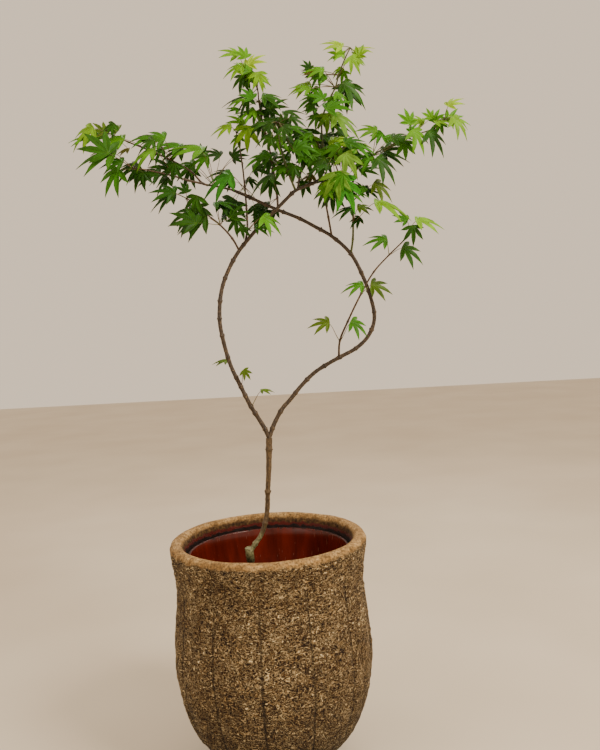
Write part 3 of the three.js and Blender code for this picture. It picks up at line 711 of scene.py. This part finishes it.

# %% [markdown]
# The leaves, branch by branch and node by node along its route. Each row gives the end of the
# leaf's stalk, the way its midrib points in degrees up from +X, its length and its green. Part of
# the greens is painted light and shade: leaves near the light are painted yellow-green, those
# inside the crown are painted dark. A few rows end with how far the leaf's upper face tips up
# towards the light, in degrees, where that isn't the usual TIP.

# %% Leaf rows, in millimetres
TIP = 52
SPRAYS = {
    "left_stem": [
        (3, [(2, -14, 522, 0, 15, "olive", 70)]),
        (4, [(-20, -18, 551, -50, 13, "olive"), (-42, 4, 564, 180, 18, "olive", 70)]),
    ],
    "lower_left_twig": [
        (2, [
            (-54, -50, 752, 195, 42, "dark"), (-37, -4, 759, 12, 30, "dark", 70),
            (-46, -14, 775, 3, 34, "deep", 70)]),
        (4, [
            (-72, -18, 765, 192, 38, "dark"), (-64, -50, 779, 245, 28, "deep"),
            (-93, -42, 785, 197, 36, "dark"), (-82, -20, 790, 110, 14, "dark")]),
    ],
    "upright_left_twig": [
        (1, [
            (-18, -20, 753, 268, 21, "dark"), (18, -28, 752, -35, 30, "bright"),
            (14, 14, 758, 200, 14, "dark")]),
        (3, [
            (-24, 20, 786, 232, 34, "blue"), (5, 38, 778, -55, 32, "blue"),
            (-28, 34, 824, 175, 30, "blue"), (6, 36, 828, 10, 28, "dark")]),
        (6, [
            (3, 4, 878, 265, 30, "lime"), (-20, 8, 881, 188, 26, "lime"),
            (-3, 26, 888, 140, 24, "bright"), (-2, 36, 872, 20, 12, "dark")]),
    ],
    "right_stem": [
        (20, [(-19, -48, 804, 205, 50, "vivid")]),
    ],
    "left_arm": [
        (1, [
            (-57, -24, 843, 162, 46, "bright"), (-62, 14, 846, 95, 14, "dark"),
            (-38, 24, 846, 150, 24, "dark"), (-22, 36, 846, 40, 22, "dark"),
            (-76, 38, 838, 185, 34, "deep")]),
        (4, [
            (-98, 24, 832, 192, 44, "mid"), (-90, 12, 858, 165, 40, "mid"),
            (-104, -34, 858, 168, 34, "mid")]),
        (5, [(-120, -24, 862, 172, 32, "mid"), (-158, -28, 862, 180, 38, "bright")]),
        (7, [
            (-162, -28, 877, 178, 28, "olive"), (-160, 12, 858, 190, 16, "rust"),
            (-198, -26, 879, 212, 38, "lime"), (-190, 6, 880, 130, 20, "olive")]),
    ],
    "left_arm_fork": [
        (2, [
            (-90, -50, 822, 252, 22, "dark"), (-113, -62, 838, 200, 40, "bright"),
            (-118, -6, 820, 175, 34, "dark")]),
        (4, [
            (-165, -54, 838, 183, 60, "mid"), (-165, -40, 820, 228, 36, "mid"),
            (-148, -6, 832, 190, 36, "dark"), (-140, -22, 826, 215, 26, "deep")]),
    ],
    "crossing_twig": [
        (1, [(33, -24, 806, 207, 36, "dark", 60), (26, 24, 778, 183, 26, "dark", 60)]),
        (3, [
            (40, 28, 845, 180, 28, "blue"), (24, -10, 834, 195, 28, "mid"),
            (50, -14, 822, -15, 28, "mid")]),
        (5, [
            (14, -10, 895, 200, 25, "bright"), (32, 26, 892, -30, 28, "mid"),
            (40, -8, 860, -40, 26, "bright")]),
        (7, [
            (26, -14, 911, -6, 30, "deep"), (2, -16, 908, 187, 22, "bright"),
            (30, 20, 905, -55, 22, "dark")]),
        (8, [(21, -18, 941, 290, 22, "lime"), (9, 14, 921, 181, 38, "dark", 65)]),
        (10, [
            (1, -14, 952, 195, 25, "lime"), (0, 12, 948, 250, 22, "deep"),
            (-3, -20, 964, 150, 24, "lime"), (8, 6, 960, 40, 24, "sun")]),
    ],
    "left_fork_twig": [
        (1, [(63, -34, 814, 260, 17, "dark"), (50, -30, 812, 200, 14, "mid")]),
        (4, [
            (36, -50, 852, 200, 22, "dark"), (58, -54, 858, 0, 24, "deep"),
            (52, -44, 880, 10, 24, "dark"), (40, -22, 879, 195, 24, "dark"),
            (68, -36, 840, -10, 28, "mid"), (30, -42, 868, 175, 22, "dark")]),
    ],
    "right_fork_twig": [
        (1, [
            (70, -4, 834, -18, 28, "mid"), (88, 30, 814, 215, 22, "rust"),
            (58, 42, 842, 170, 28, "mid")]),
        (4, [
            (86, -8, 858, 258, 24, "bright"), (83, 20, 874, 268, 32, "dark"),
            (70, 46, 862, 170, 22, "dark"), (98, 50, 856, -5, 28, "dark")]),
    ],
    "leader_twig": [
        (1, [(118, 20, 808, 182, 26, "dark"), (98, -24, 835, 252, 24, "mid")]),
        (2, [
            (115, -6, 851, 4, 34, "sun"), (102, 34, 868, -15, 26, "dark"),
            (134, 20, 840, -5, 34, "deep"), (88, -22, 857, 190, 22, "mid")]),
        (4, [
            (100, 6, 889, 215, 20, "mid"), (112, 0, 888, 263, 24, "pale"),
            (118, 38, 884, -10, 26, "dark"), (114, 30, 896, -10, 24, "dark"),
            (120, -16, 881, -33, 44, "pale"), (102, 32, 894, 170, 16, "dark")]),
        (5, [
            (105, -8, 906, 130, 24, "mid"), (122, -12, 911, -28, 22, "bright"),
            (97, 24, 918, 198, 26, "mid")]),
        (6, [
            (108, -12, 942, 172, 26, "bright"), (90, 8, 930, 188, 28, "lime"),
            (136, 24, 935, -38, 44, "deep")]),
        (7, [
            (100, 18, 946, 150, 19, "rust"), (144, -12, 957, -52, 22, "lime"),
            (135, 20, 954, 218, 15, "lime")]),
        (9, [(134, -12, 971, 155, 25, "sun"), (152, 8, 971, 22, 24, "sun")]),
    ],
    "inner_right_twig": [
        (2, [(111, -44, 790, 200, 24, "lime"), (112, -8, 784, 270, 26, "dark")]),
        (4, [
            (113, -64, 797, -78, 34, "pale"), (122, -52, 790, -62, 46, "vivid"),
            (128, -54, 822, -58, 32, "pale"), (124, -30, 836, 190, 30, "mid"),
            (138, -36, 838, -12, 34, "mid"), (102, -58, 816, 215, 30, "dark")]),
    ],
    "right_arm": [
        (2, [
            (137, -26, 757, 187, 26, "dark"), (143, -32, 757, -5, 18, "olive"),
            (166, -38, 762, -14, 55, "lime", 65)]),
        (3, [
            (154, 2, 786, 140, 20, "dark"), (168, -18, 790, -36, 30, "olive"),
            (154, -34, 777, 130, 12, "mid")]),
        (5, [
            (165, -32, 822, 200, 30, "mid"), (170, -46, 816, -45, 38, "dark"),
            (152, 4, 811, 18, 26, "mid")]),
        (6, [
            (181, -4, 830, -3, 36, "dark"), (146, -4, 846, -6, 24, "lime"),
            (172, -30, 855, 165, 24, "bright"), (192, -40, 842, 5, 26, "dark")]),
        (8, [
            (186, 8, 853, 12, 22, "mid"), (214, -38, 860, 100, 18, "bright"),
            (217, -50, 848, -56, 30, "bright"), (238, -6, 868, 150, 20, "lime"),
            (239, -38, 848, -48, 34, "dark")]),
        (10, [
            (250, -26, 863, 8, 20, "lime"), (262, -4, 868, 240, 16, "mid"),
            (266, -34, 881, 35, 20, "sun"), (272, -10, 870, -3, 26, "lime"),
            (269, -48, 862, -46, 30, "lime")]),
    ],
    "lower_right_twig": [
        (1, [(98, -22, 609, 180, 25, "olive", 55), (128, -28, 609, -35, 26, "mid")]),
        (3, [(144, -40, 656, 185, 26, "mid"), (159, -4, 657, -15, 28, "olive")]),
        (5, [(177, -46, 712, 178, 27, "mid"), (203, -10, 704, -30, 32, "deep")]),
        (7, [
            (212, -44, 728, -86, 22, "dark"), (212, 0, 741, 150, 18, "mid"),
            (219, -32, 737, -6, 36, "lime")]),
    ],
}
ROUTES = {"trunk": TRUNK, "left_stem": LEFT_STEM, "right_stem": RIGHT_STEM, **TWIGS}
counts = [len(rows) for sprays in SPRAYS.values() for _, rows in sprays]
print("leaves:", sum(counts), "in", len(counts), "sprays")

# %% Branch modelling
LINE_STEP = 1.4 * MM
RING_RISE = 0.24             # share of the radius by which a node's ring stands proud
RING_HALF = 0.8 * MM
SWELL_RISE = 0.14            # the gentler swelling on both sides of the ring
SWELL_HALF = 3.2 * MM


def radius_between(radii, share):
    step = min(share, 0.9999) * (len(radii) - 1)
    low = int(step)
    return radii[low] + (radii[low + 1] - radii[low]) * (step - low)


def measured(points):
    """The smooth line along a route, and how far along it each of its points lies."""
    line = smooth_line([Vector(p) * MM for p in points], LINE_STEP)
    lengths = [0.0]
    for a, b in zip(line, line[1:]):
        lengths.append(lengths[-1] + (b - a).length)
    return line, lengths


def length_at(points, index):
    """How far along its route a branch reaches one of its points."""
    target = Vector(points[index]) * MM
    return min(((spot - target).length, length) for spot, length in zip(*measured(points)))[1]


def branch(points, radii, rings, sides):
    """A closed tube along the route, with a ring at each of the given lengths along it."""
    line, lengths = measured(points)
    nothing_selected()
    bpy.ops.curve.primitive_nurbs_path_add()
    tube = bpy.context.object
    tube.data.splines.clear()
    spline = tube.data.splines.new("POLY")
    spline.points.add(len(line) - 1)
    for point, centre, length in zip(spline.points, line, lengths):
        thick = radius_between(radii, length / lengths[-1])
        knob = sum(
            RING_RISE * math.exp(-((length - ring) / RING_HALF) ** 2)
            + SWELL_RISE * math.exp(-((length - ring) / SWELL_HALF) ** 2)
            for ring in rings
        )
        grain = 0.09 * noise.noise(centre / (4 * MM)) + 0.06 * noise.noise(centre / (1.8 * MM))
        point.co = (*centre, 1.0)
        point.radius = thick * (1 + knob + grain)
    tube.data.dimensions = "3D"
    tube.data.bevel_depth = 1.0
    tube.data.bevel_resolution = sides // 4
    tube.data.use_fill_caps = True
    bpy.ops.object.convert(target="MESH")
    bpy.ops.object.shade_smooth()
    tube = bpy.context.object
    return tube, line, lengths


# %% [markdown]
# A winter bud sits beside each node. It is one small pointed body, used again and again: a ball of
# a few dozen faces, drawn out to a point.

# %% Bud
def bud():
    nothing_selected()
    bpy.ops.mesh.primitive_uv_sphere_add(segments=8, ring_count=6, radius=1.0)
    body = bpy.context.object
    select_only(body, "vertices", lambda vertex: vertex.co.z > 0.1)
    bpy.ops.transform.resize(value=(0.8, 0.8, 1.9), center_override=(0, 0, 0.1))
    mode("OBJECT")
    bpy.ops.object.shade_smooth()
    return body


bud_model = bud()
BUD_SIZE = 0.95 * MM


def buds_at(line, lengths, rings, radius, rng):
    """A pair of buds on opposite sides of the branch at each ring."""
    made = []
    for k, ring in enumerate(rings):
        i = min(range(len(lengths)), key=lambda j: abs(lengths[j] - ring))
        i = min(max(i, 1), len(line) - 2)
        along = (line[i + 1] - line[i - 1]).normalized()
        side = along.cross(Vector((0, 1, 0) if k % 2 else (1, 0.2, 0))).normalized()
        for way in (1, -1):
            out = side * way
            lean = (out * 0.75 + along).normalized()
            turn = Vector((0, 0, 1)).rotation_difference(lean).to_matrix().to_4x4()
            size = BUD_SIZE * rng.uniform(0.7, 1.15)
            spot = line[i] + out * radius * 1.05 + along * 0.9 * MM
            made.append(copy_of(bud_model, Matrix.Translation(spot) @ turn @ Matrix.Scale(size, 4)))
    return made


# %% [markdown]
# Bark of a young maple: smooth, dark brown on the stems, grey-green on the old stub of the trunk,
# reddish brown to green on the young shoots. The pattern is noise in space, stretched along the
# height, with small pale pores.

# %% Bark finishes
MOSS_ENDS = (0.306, 0.336)   # heights between which the trunk's grey-green bark turns brown


def bark_finish(name, low, middle, high, mossy=False):
    finish, surface = new_finish(name)
    place = object_place()
    streaks = speckle(stretched(place, 0.3), 2.4 * MM, 4.0, 0.5, 0.6)
    colour = ramp(streaks, [(0.28, low), (0.5, middle), (0.74, high)])
    pores = above(speckle(place, 1.5 * MM, 1.0), 0.66, 0.72)
    colour = blend(times(pores, 0.6), colour, "a08a66")
    if mossy:
        height = add("SeparateXYZ", Vector=place).outputs["Z"]
        old = below(shifted(height, speckle(place, 8 * MM, 3.0), 0.05), *MOSS_ENDS)
        grey = ramp(speckle(place, 3 * MM, 4.0), [
            (0.3, "3c3a22"), (0.5, "6b6a45"), (0.7, "8f8d68"),
        ])
        colour = blend(old, colour, grey)
    rough = linear(streaks, 0.3, 0.42)
    feed(surface, Base_Color=colour, Normal=bump(streaks, 0.35 * MM, 0.8), Roughness=rough)
    return finish


stem_bark = bark_finish("stem_bark", "1a1209", "342617", "554228")
trunk_bark = bark_finish("trunk_bark", "2a1d0e", "4a3820", "6f5936", mossy=True)
shoot_bark = bark_finish("shoot_bark", "20140a", "3d2a14", "5e4826")
green_bark = bark_finish("green_shoot_bark", "26300f", "43501c", "66692c")

# %% Trunk and stems
STUB_RADIUS = 5.7 * MM
STUB_LENGTH = 20 * MM
STUB_PLACE = Vector((-26.0, -8.5, 296)) * MM

rng = random.Random(5)
trunk_radii = [r * MM for r in (8, 6.6, 5.9, 5.9, 5.0, 3.4, 3.3, 3.3, 3.3, 3.4, 3.5, 4.0, 4.4)]
trunk_rings = [length_at(TRUNK, k) for k in (5, 7, 9, 11)]
trunk, line, lengths = branch(TRUNK, trunk_radii, trunk_rings, 16)
join_into(trunk, buds_at(line, lengths, trunk_rings[1:], 3.4 * MM, rng))


def old_cut():
    """The stub where the first trunk was cut back: a short log with a healed rim and a sunk face."""
    nothing_selected()
    bpy.ops.mesh.primitive_cylinder_add(vertices=20, radius=STUB_RADIUS, depth=STUB_LENGTH)
    stub = bpy.context.object
    select_only(stub, "polygons", lambda face: face.normal.z > 0.9)
    for inset, rise in ((0.9, 0.7), (0.7, -1.0), (1.2, 0.2)):
        bpy.ops.mesh.inset(thickness=inset * MM, depth=rise * MM)
    mode("OBJECT")
    bpy.ops.object.shade_smooth()
    lean = Matrix.Rotation(math.radians(-5), 4, "Y") @ Matrix.Rotation(math.radians(7), 4, "X")
    stub.data.transform(Matrix.Translation(STUB_PLACE) @ lean)
    roughen(stub, "healed_wood", 4 * MM, 0.7 * MM)
    apply_all(stub)
    return stub


join_into(trunk, [old_cut()])
finish_piece(trunk, "trunk_wood", "trunk", "bark", trunk_bark)

STEM_RADII = [r * MM for r in (3.0, 2.8, 2.7, 2.6, 2.4, 2.1)]
for name, seed in (("left_stem", 3), ("right_stem", 8)):
    rng = random.Random(seed)
    points = ROUTES[name]
    end = length_at(points, -1)
    rings = []
    at = 14 * MM
    while at < end - 6 * MM:
        rings.append(at)
        at += rng.uniform(23, 34) * MM
    rings += [length_at(points, node) for node, _ in SPRAYS[name]]
    stem, line, lengths = branch(points, STEM_RADII, rings, 16)
    join_into(stem, buds_at(line, lengths, rings, 2.5 * MM, rng))
    finish_piece(stem, name + "_wood", name, "bark", stem_bark)

# %% Side shoots
TWIG_RADII = [r * MM for r in (1.5, 1.35, 1.2, 1.0, 0.8)]
for name, points in TWIGS.items():
    rng = random.Random(name)
    rings = [length_at(points, k) for k in range(1, len(points) - 1)]
    shoot, line, lengths = branch(points, TWIG_RADII, rings, 12)
    leafy = [length_at(points, node) for node, _ in SPRAYS[name]]
    join_into(shoot, buds_at(line, lengths, leafy, 1.3 * MM, rng))
    finish = green_bark if name in ("right_arm", "left_fork_twig", "leader_twig") else shoot_bark
    finish_piece(shoot, name + "_wood", name, "young_twig", finish)
bpy.data.objects.remove(bud_model)

# %% [markdown]
# A maple leaf has five or seven long toothed lobes that spread like fingers from the end of its
# stalk. It could be cut from a flat sheet, but then it would have nothing to bend at. So a disc of
# rings and spokes is made first, one spoke for each point of the outline, and each spoke is turned
# and stretched until the disc has become the leaf. Its ribs then lie on spokes, and painted
# weights fold the lobes up from their ribs and let the tips hang.

# %% Leaf outline
TEETH = 4                    # on each side of a lobe
LOBE_SWELL = 3.3             # how much a lobe widens from its notch on
LOBE_TAPER = 1.3             # how early it narrows to its tip
STALK_NOTCH = (0.16, math.radians(26))


def lobe_edge(length, notch, spread):
    """Points from the notch to the tip on one side of a lobe: (degrees off its rib, reach)."""
    start = notch * math.cos(spread)
    half = notch * math.sin(spread)
    edge = []
    steps = 2 * TEETH
    for i in range(steps):
        t = i / steps
        along = start + (length - start) * t
        width = half * (1 + LOBE_SWELL * t) * (1 - t) ** LOBE_TAPER
        if i % 2:
            width *= 1.04
            along += 0.006
        elif i:
            width *= 0.97
        edge.append((math.atan2(width, along), math.hypot(along, width)))
    return edge


def notch_between(lobe, other, depth):
    """How far out the notch between two lobes lies, and how far off their ribs."""
    spread = math.radians(other[0] - lobe[0]) / 2
    return depth * math.sqrt(lobe[1] * other[1]), spread


def leaf_spokes(lobes, depth):
    """The outline as (angle, reach, angle off the nearest rib), right round the leaf."""
    half = []
    notch = None
    for k, (degrees, length) in enumerate(lobes):
        rib = math.radians(degrees)
        last = k + 1 == len(lobes)
        if k:
            half += [(rib - off, reach, off) for off, reach in lobe_edge(length, *notch)]
        half.append((rib, length, 0.0))
        notch = STALK_NOTCH if last else notch_between(lobes[k], lobes[k + 1], depth)
        back = [(rib + off, reach, off) for off, reach in lobe_edge(length, *notch)]
        half += back[::-1] if last else back[:0:-1]
    half.append((math.pi, 0.05, 0.9))
    mirrored = [(-angle, reach, off) for angle, reach, off in half[1:-1]][::-1]
    return half + mirrored


# %% Leaf model
RING_SHARES = (0.30, 0.58, 0.82, 1.0)
LEAF_THICKNESS = 0.007       # of its length


def leaf_model(name, lobes, depth, fold, droop):
    spokes = leaf_spokes(lobes, depth)
    count = len(spokes)
    nothing_selected()
    bpy.ops.mesh.primitive_circle_add(vertices=count, radius=RING_SHARES[0], fill_type="TRIFAN")
    blade = bpy.context.object
    mode("EDIT")
    for share, wider in zip(RING_SHARES, RING_SHARES[1:]):
        bpy.ops.mesh.select_all(action="SELECT")
        bpy.ops.mesh.region_to_loop()
        bpy.ops.mesh.extrude_edges_move()
        bpy.ops.transform.resize(value=(wider / share, wider / share, 1), center_override=(0, 0, 0))
    mode("OBJECT")
    by_angle = {}
    for vertex in blade.data.vertices:
        if vertex.co.length > 0.01:
            turn = math.atan2(vertex.co.y, vertex.co.x) - math.pi / 2
            by_angle.setdefault(round(turn * count / math.tau) % count, []).append(vertex.index)
    for i, (angle, reach, _) in enumerate(spokes):
        select_only(blade, "vertices", lambda vertex: vertex.index in by_angle[i])
        turn = angle - math.pi / 2 - math.tau * i / count
        bpy.ops.transform.rotate(value=-turn, orient_axis="Z", center_override=(0, 0, 0))
        bpy.ops.transform.resize(value=(reach, reach, 1), center_override=(0, 0, 0))
    mode("OBJECT")
    raised = blade.vertex_groups.new(name="raised")
    hanging = blade.vertex_groups.new(name="hanging")
    ribs = {}
    for i, indices in by_angle.items():
        for index in indices:
            co = blade.data.vertices[index].co
            reach = math.hypot(co.x, co.y)
            off = spokes[i][2]
            ribs[index] = (reach * math.cos(off), reach * math.sin(off))
            raised.add([index], min(1.0, ribs[index][1] * 4), "REPLACE")
            hanging.add([index], reach ** 2, "REPLACE")
    leaf_map = blade.data.uv_layers.new(name="leaf_map")
    for loop in blade.data.loops:
        leaf_map.data[loop.index].uv = ribs.get(loop.vertex_index, (0.0, 0.0))
    for group, strength in (("raised", fold / 4), ("hanging", -droop)):
        modifier = blade.modifiers.new(group, "DISPLACE")
        modifier.direction = "Z"
        modifier.mid_level = 0.0
        modifier.strength = strength
        modifier.vertex_group = group
    skin = blade.modifiers.new("skin", "SOLIDIFY")
    skin.thickness = LEAF_THICKNESS
    skin.offset = 0.0
    skin.material_offset = 1
    skin.material_offset_rim = 0
    blade.data.materials.append(leaf_top)
    blade.data.materials.append(leaf_under)
    apply_all(blade)
    blade.vertex_groups.clear()
    bpy.ops.object.shade_smooth()
    blade.name = name
    print(name, "spokes", count, "faces", len(blade.data.polygons))
    return blade


# %% [markdown]
# The blade is thin, soft and half lets the light through. Its green comes from an attribute that
# each leaf carries, and its paler ribs and side veins from the leaf's own map, which runs along
# and away from the nearest rib. The underside is paler and duller.

# %% Leaf finishes
# The paler greens such as sun and lime stand for painted light on leaves near the light, and the
# darker ones for painted shade inside the crown.
GREENS = {
    "dark": "29570b", "deep": "31660d", "mid": "45850f", "bright": "5f9c11", "lime": "80b216",
    "sun": "9dc521", "pale": "6a972b", "olive": "587517", "rust": "676216", "blue": "265816",
    "vivid": "378716",
}
SIDE_VEINS = 13.0            # on each side of a rib as long as the leaf
LIGHT_THROUGH = 0.30         # share of the light that a blade lets through


def leaf_finish(name, lift, gloss):
    finish, surface = new_finish(name)
    green = add("Attribute", {"attribute_name": "green"}).outputs["Color"]
    cloudy = ramp(speckle(object_place(), 11 * MM, 3.0), [(0.3, 0.74), (0.7, 1.22)])
    base = blend(lift, blend(1.0, green, cloudy, "MULTIPLY"), "8fae5c")
    rib_map = add("UVMap", {"uv_map": "leaf_map"}).outputs["UV"]
    rib_way = add("SeparateXYZ", Vector=rib_map)
    along, away = rib_way.outputs["X"], rib_way.outputs["Y"]
    half_width = linear(along, -0.007, 0.0105)
    rib = below(maths("SUBTRACT", away, half_width), -0.004, 0.004)
    chevrons = maths("FRACT", times(linear(away, -0.95, along), SIDE_VEINS))
    vein = below(from_middle(chevrons), 0.03, 0.10)
    veins = maths("MAXIMUM", rib, times(vein, 0.35))
    light = blend(1.0, base, (1.5, 1.45, 1.3, 1.0), "MULTIPLY")
    light = blend(0.12, light, "b6c25e")
    colour = blend(times(veins, 0.6), base, light)
    sunk = bump(times(veins, -1.0), 0.4 * MM, 0.6)
    feed(surface, Base_Color=colour, Normal=sunk, Roughness=gloss, Specular_IOR_Level=0.22)
    warm = blend(1.0, colour, (1.35, 1.25, 0.55, 1.0), "MULTIPLY")
    glow = add("BsdfTranslucent", Color=warm)
    mixed = add("MixShader", Fac=LIGHT_THROUGH)
    tree.links.new(surface.outputs[0], mixed.inputs[1])
    tree.links.new(glow.outputs[0], mixed.inputs[2])
    feed(tree.nodes["Material Output"], Surface=mixed.outputs[0])
    return finish


leaf_top = leaf_finish("maple_leaf_face", 0.0, 0.45)
leaf_under = leaf_finish("maple_leaf_underside", 0.16, 0.6)

# %% Four leaf shapes
BROAD = [(0, 1.0), (36, 0.94), (74, 0.77), (112, 0.46)]
SLIM = [(0, 1.0), (37, 0.90), (78, 0.62)]
leaf_models = {
    "broad": leaf_model("broad_leaf", BROAD, 0.35, 0.36, 0.26),
    "slim": leaf_model("slim_leaf", SLIM, 0.31, 0.42, 0.30),
    "hanging": leaf_model("hanging_leaf", BROAD, 0.32, 0.50, 0.44),
    "young": leaf_model("young_leaf", SLIM, 0.36, 0.55, 0.20),
}

# %% [markdown]
# Each leaf hangs on a thin stalk that leaves the twig outwards and meets the blade in line with
# its midrib. All leaves and stalks of one node are joined, as they meet there in a pair of
# stalk feet that clasp the twig.

# %% Leaf stalks
STALK_RADIUS = 0.36 * MM
stalk_skin, surface = new_finish("leaf_stalk")
skin_colour = ramp(speckle(object_place(), 9 * MM, 2.0), [
    (0.35, "4e2a14"), (0.5, "5a4a1c"), (0.65, "55702a"),
])
feed(surface, Base_Color=skin_colour, Roughness=0.45)


def stalk(start, out, end, midrib):
    """A thin tube from the twig to the blade, thickest at its foot."""
    gap = (end - start).length
    nothing_selected()
    bpy.ops.curve.primitive_bezier_curve_add()
    tube = bpy.context.object
    first, last = tube.data.splines[0].bezier_points
    first.co, last.co = start, end + midrib * 0.8 * MM
    first.handle_left_type = first.handle_right_type = "FREE"
    last.handle_left_type = last.handle_right_type = "FREE"
    first.handle_right = start.lerp(end, 0.3) + out * gap * 0.08
    first.handle_left = start - out * gap * 0.1
    last.handle_left = end.lerp(start, 0.3) + Vector((0, 0, gap * 0.07)) - midrib * gap * 0.05
    last.handle_right = end + midrib * 2 * MM
    first.radius, last.radius = 1.5, 0.85
    tube.data.splines[0].resolution_u = 10
    tube.data.bevel_depth = STALK_RADIUS
    tube.data.bevel_resolution = 1
    tube.data.use_fill_caps = True
    bpy.ops.object.convert(target="MESH")
    tube = bpy.context.object
    bpy.ops.object.shade_smooth()
    tube.data.materials.append(stalk_skin)
    return tube


# %% Leaves of each node
WOBBLE = 9                   # degrees by which a leaf is turned at random about its midrib
BRIGHTNESS = (0.86, 1.16)
REDNESS = (0.9, 1.12)


def blade_length(length):
    """A finished blade's length for that of its flat CAD plate: small ones grow the most."""
    return length * (1.36 - 0.0075 * length)


def leaf_place(x, y, z, aim, length, tip, rng):
    angle = math.radians(aim)
    tipped = -math.radians(tip) * math.cos(angle)
    wobble = Matrix.Rotation(math.radians(rng.uniform(-WOBBLE, WOBBLE)), 4, "X")
    return (
        Matrix.Translation(Vector((x, y, z)) * MM)
        @ Matrix.Rotation(-angle, 4, "Y")
        @ Matrix.Rotation(math.pi / 2 + tipped, 4, "X")
        @ wobble
        @ Matrix.Scale(blade_length(length) * MM, 4)
    )


def leaf_kind(length, tip, aim, rng):
    if length < 20:
        return "young"
    if tip > 50:
        return "slim"
    pointing_down = math.sin(math.radians(aim)) < -0.3
    return rng.choice(("broad", "broad", "hanging") if pointing_down else ("broad", "slim", "broad"))


def tint(leaf, colour):
    layer = leaf.data.color_attributes.new(name="green", type="FLOAT_COLOR", domain="POINT")
    for entry in layer.data:
        entry.color = colour


SPARSE = ("left_stem", "right_stem", "lower_right_twig")
DENSE = ("crossing_twig", "left_fork_twig", "right_fork_twig", "leader_twig", "inner_right_twig")
SHORTEST_WITH_PARTNERS = 18  # length of a leaf, in millimetres
PARTNER_CHANCE = 0.8
PARTNER_SHIFT = 12           # sideways, in millimetres
PARTNER_DEPTH = (8, 20)      # behind or in front, in millimetres
PARTNER_TURN = (22, 60)      # degrees
PARTNER_SIZE = (0.6, 0.86)   # share of its leaf's length
# Painted shade: a partner leaf takes the next darker green, as it mostly stands behind its leaf
# inside the crown.
DARKER = {"sun": "lime", "lime": "bright", "bright": "mid", "mid": "deep", "vivid": "mid",
          "pale": "mid", "olive": "deep", "deep": "dark", "blue": "dark"}


def with_partners(owner, rows, rng):
    """Adds the smaller leaves that grow behind a leaf in the full part of the crown."""
    full = [row if len(row) == 7 else (*row, TIP) for row in rows]
    for x, y, z, aim, length, green, tip in full[:]:
        count = 2 if owner in DENSE else 1
        if owner in SPARSE or length < SHORTEST_WITH_PARTNERS:
            count = 0
        for _ in range(count):
            if rng.random() > PARTNER_CHANCE:
                continue
            side = rng.choice((-1, 1))
            full.append((
                x + rng.uniform(-PARTNER_SHIFT, PARTNER_SHIFT),
                y + rng.choice((1, 1, -1)) * rng.uniform(*PARTNER_DEPTH),
                z + rng.uniform(-PARTNER_SHIFT, PARTNER_SHIFT / 2),
                aim + side * rng.uniform(*PARTNER_TURN), length * rng.uniform(*PARTNER_SIZE),
                DARKER.get(green, "dark"), tip,
            ))
    return full


rng = random.Random(21)
numbered = [
    (owner, number, node, rows)
    for owner, sprays in SPRAYS.items() for number, (node, rows) in enumerate(sprays, 1)
]
for owner, number, node, rows in numbered:
    route = [Vector(p) * MM for p in ROUTES[owner]]
    centre = route[node]
    ahead = route[min(node + 1, len(route) - 1)]
    behind = route[max(node - 1, 0)]
    along = (ahead - behind).normalized()
    parts = []
    for x, y, z, aim, length, green, tip in with_partners(owner, rows, rng):
        matrix = leaf_place(x, y, z, aim, length, tip, rng)
        leaf = copy_of(leaf_models[leaf_kind(length, tip, aim, rng)], matrix)
        tone = shade(GREENS[green])
        shift = rng.uniform(*BRIGHTNESS)
        tint(leaf, (tone[0] * shift * rng.uniform(*REDNESS), tone[1] * shift, tone[2] * shift, 1.0))
        end = matrix.translation
        way = end - centre
        out = (way - along * way.dot(along)).normalized()
        midrib = (matrix.to_3x3() @ Vector((1, 0, 0))).normalized()
        tube = stalk(centre + out * 0.8 * MM, (out + along * 0.5).normalized(), end, midrib)
        tint(tube, shade(GREENS["olive"]))
        parts += [leaf, tube]
    spray = join_into(parts[0], parts[1:])
    finish_piece(spray, f"{owner}_foliage_{number}", f"{owner}_leaves_{number}", "leaves")
for model in leaf_models.values():
    bpy.data.objects.remove(model)

# %% [markdown]
# A plain pale floor and soft light: one wide lamp high on the front right, a weaker one on the
# left, and an even warm sky, so that the crown is lit from above and the planter keeps its relief.

# %% Floor and light
nothing_selected()
bpy.ops.mesh.primitive_plane_add(size=12)
floor = bpy.context.object
floor.name = "floor"
floor_finish, surface = new_finish("pale_floor")
plaster = ramp(speckle(object_place(), 0.4, 2.0), [(0.3, "cfc3ae"), (0.7, "d8cdb9")])
feed(surface, Base_Color=plaster, Roughness=0.8)
floor.data.materials.append(floor_finish)


def lamp(name, place, target, size, power, colour):
    nothing_selected()
    bpy.ops.object.light_add(type="AREA", location=place)
    light = bpy.context.object
    light.name = name
    light.data.size = size
    light.data.energy = power
    light.data.color = colour
    way = Vector(target) - Vector(place)
    light.rotation_euler = way.to_track_quat("-Z", "Y").to_euler()


lamp("key", (1.4, -1.1, 1.9), (0, 0, 0.5), 0.7, 54, (1.0, 0.90, 0.76))
lamp("fill", (-1.5, -1.2, 1.5), (0, 0, 0.6), 1.3, 6, (1.0, 0.94, 0.86))
lamp("back", (0.2, 1.5, 1.9), (0, 0, 0.7), 1.2, 12, (1.0, 0.96, 0.9))
sky = bpy.data.worlds.new("warm_sky")
sky.use_nodes = True
sky.node_tree.nodes["Background"].inputs["Color"].default_value = (1.0, 0.80, 0.60, 1.0)
sky.node_tree.nodes["Background"].inputs["Strength"].default_value = 1.0
bpy.context.scene.world = sky
